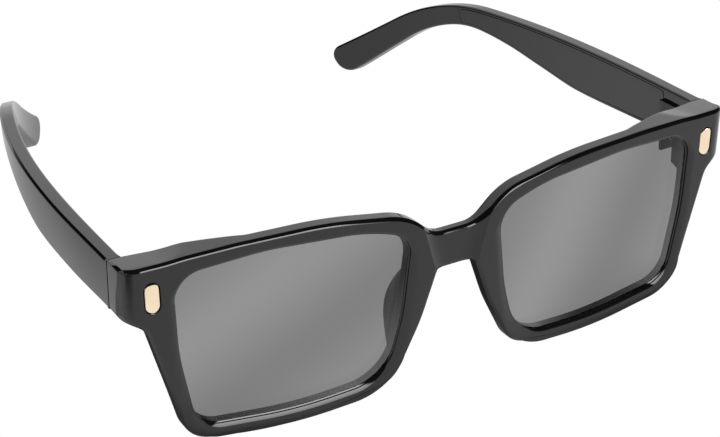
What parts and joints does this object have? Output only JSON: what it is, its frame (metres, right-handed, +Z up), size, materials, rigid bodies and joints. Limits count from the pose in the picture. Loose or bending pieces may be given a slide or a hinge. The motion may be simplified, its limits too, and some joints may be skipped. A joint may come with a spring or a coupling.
{
  "type": "smart glasses",
  "caption": "Thick-rimmed rectangular smart glasses with tinted lenses, folding temples that hold the audio electronics, and controls under one temple.",
  "frame": {"origin": "middle of the bounding box's bottom face, on the surface that the rims and temple tips stand on", "axes": "+Z up from that surface, +X towards the wearer's left, +Y from the front back along the temples, so the lenses face -Y"},
  "size_m": [0.149, 0.1428, 0.0476],
  "materials": {
    "acetate_front": "polished black acetate",
    "acetate_temple": "polished black acetate",
    "acetate_cover": "polished black plastic",
    "lens_tint": "neutral grey tinted, polished",
    "soft_rubber": "soft satin rubber",
    "gold_metal": "pale gold plating, polished",
    "hinge_steel": "brushed",
    "screw_steel": "turned",
    "battery_foil": "satin foil",
    "board_laminate": "solder mask",
    "can_steel": "tinned",
    "flex_film": "polyimide film",
    "speaker_body": "matte",
    "mesh_steel": "etched mesh",
    "microphone_can": "plated can",
    "contact_gold": "gold plated",
    "magnet_nickel": "nickel plated",
    "core_steel": "rolled",
    "button_plastic": "satin",
    "led_lens": "diffusing"
  },
  "bodies": {
    "front": {"front_frame": "acetate_front", "lens_right": "lens_tint", "lens_left": "lens_tint", "nose_pad_right": "soft_rubber", "nose_pad_left": "soft_rubber", "rivet_right": "gold_metal", "rivet_left": "gold_metal", "hinge_front_leaf_right": "hinge_steel", "hinge_front_leaf_left": "hinge_steel", "hinge_front_screws_right": "screw_steel", "hinge_front_screws_left": "screw_steel", "pivot_screw_right": "screw_steel", "pivot_screw_left": "screw_steel"},
    "temple_left": {"temple_shell_left": "acetate_temple", "temple_cover_left": "acetate_cover", "hinge_temple_leaf_left": "hinge_steel", "hinge_temple_screws_left": "screw_steel", "battery_left": "battery_foil", "circuit_board_left": "board_laminate", "shield_can_left": "can_steel", "antenna_flex_left": "flex_film", "speaker_left": "speaker_body", "speaker_mesh_left": "mesh_steel", "microphone_left": "microphone_can", "charge_contacts_left": "contact_gold", "dock_magnet_left": "magnet_nickel", "core_strip_left": "core_steel"},
    "temple_right": {"temple_shell_right": "acetate_temple", "temple_cover_right": "acetate_cover", "hinge_temple_leaf_right": "hinge_steel", "hinge_temple_screws_right": "screw_steel", "battery_right": "battery_foil", "circuit_board_right": "board_laminate", "shield_can_right": "can_steel", "antenna_flex_right": "flex_film", "speaker_right": "speaker_body", "speaker_mesh_right": "mesh_steel", "microphone_right": "microphone_can", "charge_contacts_right": "contact_gold", "dock_magnet_right": "magnet_nickel", "core_strip_right": "core_steel", "switch_flex": "flex_film", "status_led": "led_lens"},
    "action_button": {"action_button": "button_plastic"},
    "volume_rocker": {"volume_rocker": "button_plastic"}
  },
  "joints": [
    {"name": "left_temple_fold", "type": "hinge", "parent": "front", "child": "temple_left", "pos_m": [0.0689, -0.05728, 0.03901], "axis": [0, 0.1349, 0.9909], "range_deg": [0, 80]},
    {"name": "right_temple_fold", "type": "hinge", "parent": "front", "child": "temple_right", "pos_m": [-0.0689, -0.05728, 0.03901], "axis": [0, -0.1349, -0.9909], "range_deg": [0, 71]},
    {"name": "action_button_press", "type": "slide", "parent": "temple_right", "child": "action_button", "axis": [0, 0.1349, 0.9909], "range_m": [0, 0.0003], "stiffness_N_per_m": 4000},
    {"name": "volume_rocker_tilt", "type": "hinge", "parent": "temple_right", "child": "volume_rocker", "pos_m": [-0.07244, -0.0229, 0.02947], "axis": [1, 0, 0], "range_deg": [-1, 1], "stiffness_Nm_per_rad": 0.5}
  ]
}
